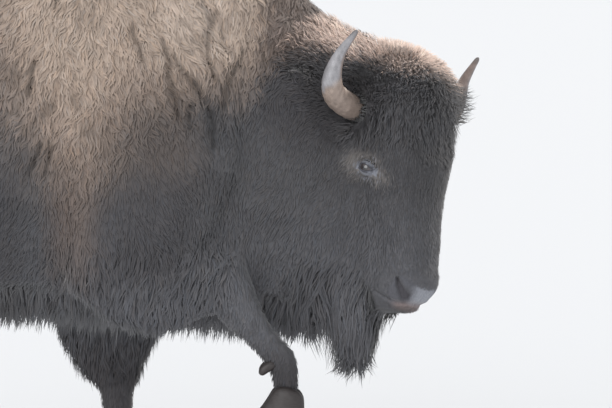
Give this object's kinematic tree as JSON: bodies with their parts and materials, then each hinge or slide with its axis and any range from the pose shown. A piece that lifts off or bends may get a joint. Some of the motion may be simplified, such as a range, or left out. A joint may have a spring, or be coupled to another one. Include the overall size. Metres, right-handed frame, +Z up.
{
  "type": "american bison bull",
  "caption": "Life-size still model of a bison bull in winter coat, walking with one foreleg lifted, head carried low and turned aside.",
  "frame": {"origin": "on the ground, under the middle of the bounding box", "axes": "+X is the way the animal walks, +Y its left side, +Z up"},
  "size_m": [2.5702, 0.7428, 1.79],
  "materials": {
    "cape_coat": "long woolly tan-brown winter hair of the hump and shoulders, matte",
    "body_coat": "short dense dark brown hair of barrel and hindquarters, matte",
    "dark_coat": "long and short brown-black hair of head, beard, neck and legs, matte",
    "horn": "grey horn, tan at the root and dark at the tip, ringed and scuffed, half gloss",
    "hoof": "dark hoof horn, satin",
    "eye": "dark brown eye, wet gloss"
  },
  "bodies": {
    "root": {"tail": "body_coat", "horn_right": "horn", "ear_right": "dark_coat", "eye_right": "eye", "horn_left": "horn", "ear_left": "dark_coat", "eye_left": "eye", "hoof_fore_left_inner": "hoof", "dewclaw_fore_left_inner": "hoof", "hoof_fore_left_outer": "hoof", "dewclaw_fore_left_outer": "hoof", "hoof_fore_right_inner": "hoof", "dewclaw_fore_right_inner": "hoof", "hoof_fore_right_outer": "hoof", "dewclaw_fore_right_outer": "hoof", "hoof_hind_left_inner": "hoof", "dewclaw_hind_left_inner": "hoof", "hoof_hind_left_outer": "hoof", "dewclaw_hind_left_outer": "hoof", "hoof_hind_right_inner": "hoof", "dewclaw_hind_right_inner": "hoof", "hoof_hind_right_outer": "hoof", "dewclaw_hind_right_outer": "hoof", "beard": "dark_coat", "lower_jaw": "dark_coat", "muzzle": "dark_coat", "forelock": "dark_coat", "foreleg_right_lower": "dark_coat", "foreleg_right_upper": "dark_coat", "foreleg_left_lower": "dark_coat", "foreleg_left_upper": "dark_coat", "head": "dark_coat", "neck": "dark_coat", "hind_right_lower": "dark_coat", "hind_left_lower": "dark_coat", "hind_right_upper": "body_coat", "hind_left_upper": "body_coat", "hindquarters": "body_coat", "barrel": "body_coat", "hump": "cape_coat", "shoulders": "cape_coat"}
  },
  "joints": []
}
